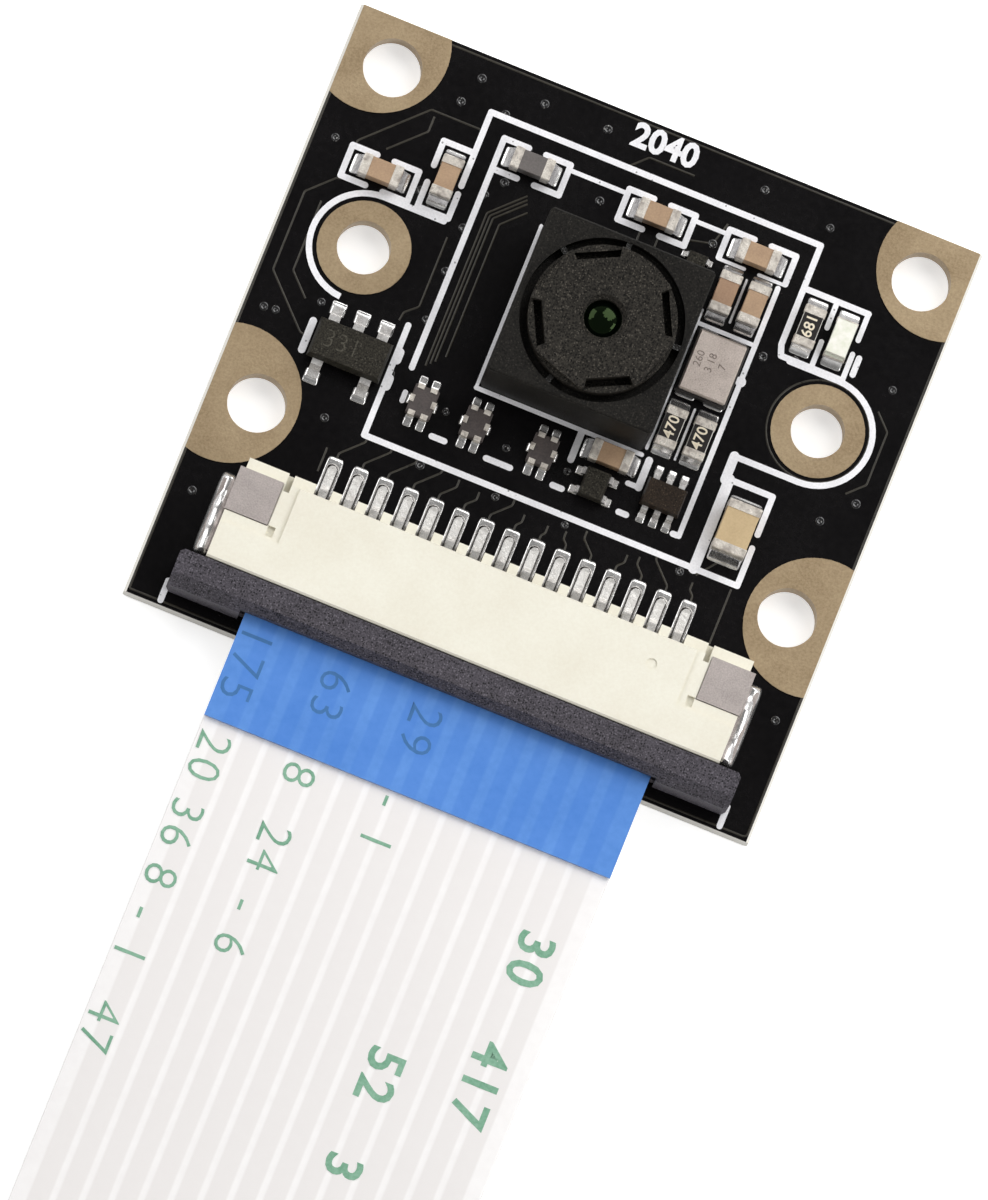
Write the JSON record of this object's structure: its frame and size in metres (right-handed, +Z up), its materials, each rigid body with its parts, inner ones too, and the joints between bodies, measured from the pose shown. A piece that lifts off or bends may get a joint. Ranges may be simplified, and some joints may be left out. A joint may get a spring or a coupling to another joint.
{
  "type": "camera module",
  "caption": "Small camera circuit board with a fixed-focus lens, mounting holes and a slider-lock connector that holds a flat ribbon cable.",
  "frame": {"origin": "centre of the circuit board's underside", "axes": "+X along the board's long edge, +Y away from the ribbon cable towards the lens side, +Z up out of the lens"},
  "size_m": [0.0248, 0.169, 0.0058],
  "materials": {
    "board_mask": "black solder mask over glass-fibre laminate",
    "gold_plating": "dull gold plating",
    "white_ink": "printed ink",
    "solder": "reflowed solder",
    "holder_black": "grainy moulded plastic",
    "barrel_black": "grainy moulded plastic",
    "lens_glass": "coated clear plastic lens",
    "spacer_black": "black film",
    "clear_glue": "cured clear glue",
    "filter_glass": "coated glass",
    "sensor_glass": "clear glass",
    "sensor_silicon": "silicon die",
    "housing_cream": "moulded cream plastic",
    "slider_grey": "grainy dark grey plastic",
    "contact_tin": "tinned copper alloy",
    "clip_tin": "matte tin",
    "ribbon_film": "translucent film over flat conductors",
    "stiffener_blue": "blue stiffener film",
    "finger_tin": "tinned copper",
    "capacitor_tan": "fired ceramic",
    "capacitor_brown": "fired ceramic",
    "bulk_tan": "fired ceramic",
    "bead_grey": "fired ferrite",
    "end_cap_tin": "tin plated end cap",
    "resistor_ceramic": "white alumina",
    "resistor_coat": "black glaze",
    "lamp_base": "white laminate",
    "lamp_clear": "milky clear resin",
    "filter_dark": "dark grey ceramic",
    "oscillator_base": "dark ceramic",
    "oscillator_lid": "matte metal lid",
    "package_grey": "moulded epoxy",
    "package_brown": "moulded epoxy",
    "lead_tin": "tinned lead"
  },
  "bodies": {
    "camera_board": {"circuit_board": "board_mask", "mounting_lands": "gold_plating", "printed_outlines": "white_ink", "solder_joints": "solder", "lens_holder": "holder_black", "lens_barrel": "barrel_black", "front_lens": "lens_glass", "middle_lens": "lens_glass", "rear_lens": "lens_glass", "front_spacer": "spacer_black", "rear_spacer": "spacer_black", "lens_retainer": "spacer_black", "glue_spots": "clear_glue", "infrared_filter": "filter_glass", "sensor_glass": "sensor_glass", "image_sensor": "sensor_silicon", "connector_housing": "housing_cream", "contact_pins": "contact_tin", "left_clip": "clip_tin", "right_clip": "clip_tin", "ribbon_cable": "ribbon_film", "near_stiffener": "stiffener_blue", "far_stiffener": "stiffener_blue", "near_fingers": "finger_tin", "far_fingers": "finger_tin", "capacitor_caps": "end_cap_tin", "bulk_capacitor": "bulk_tan", "bulk_caps": "end_cap_tin", "ferrite_bead": "bead_grey", "bead_caps": "end_cap_tin", "resistor_coats": "resistor_coat", "resistor_caps": "end_cap_tin", "lamp_base": "lamp_base", "lamp_lens": "lamp_clear", "lamp_caps": "end_cap_tin", "filter_terminals": "end_cap_tin", "oscillator_base": "oscillator_base", "oscillator_lid": "oscillator_lid", "regulator_body": "package_grey", "regulator_leads": "lead_tin", "transistor_body": "package_brown", "transistor_leads": "lead_tin", "shifter_body": "package_grey", "shifter_leads": "lead_tin", "clamp_body": "package_grey", "clamp_leads": "lead_tin", "capacitor_1": "capacitor_tan", "capacitor_2": "capacitor_tan", "capacitor_3": "capacitor_tan", "capacitor_4": "capacitor_tan", "capacitor_5": "capacitor_brown", "capacitor_6": "capacitor_tan", "capacitor_7": "capacitor_tan", "resistor_1": "resistor_ceramic", "resistor_2": "resistor_ceramic", "resistor_3": "resistor_ceramic", "filter_1": "filter_dark", "filter_2": "filter_dark", "filter_3": "filter_dark"},
    "slider": {"connector_slider": "slider_grey"}
  },
  "joints": [
    {"name": "slider_lock", "type": "slide", "parent": "camera_board", "child": "slider", "axis": [0, -1, 0], "range_m": [0, 0.0012]}
  ]
}
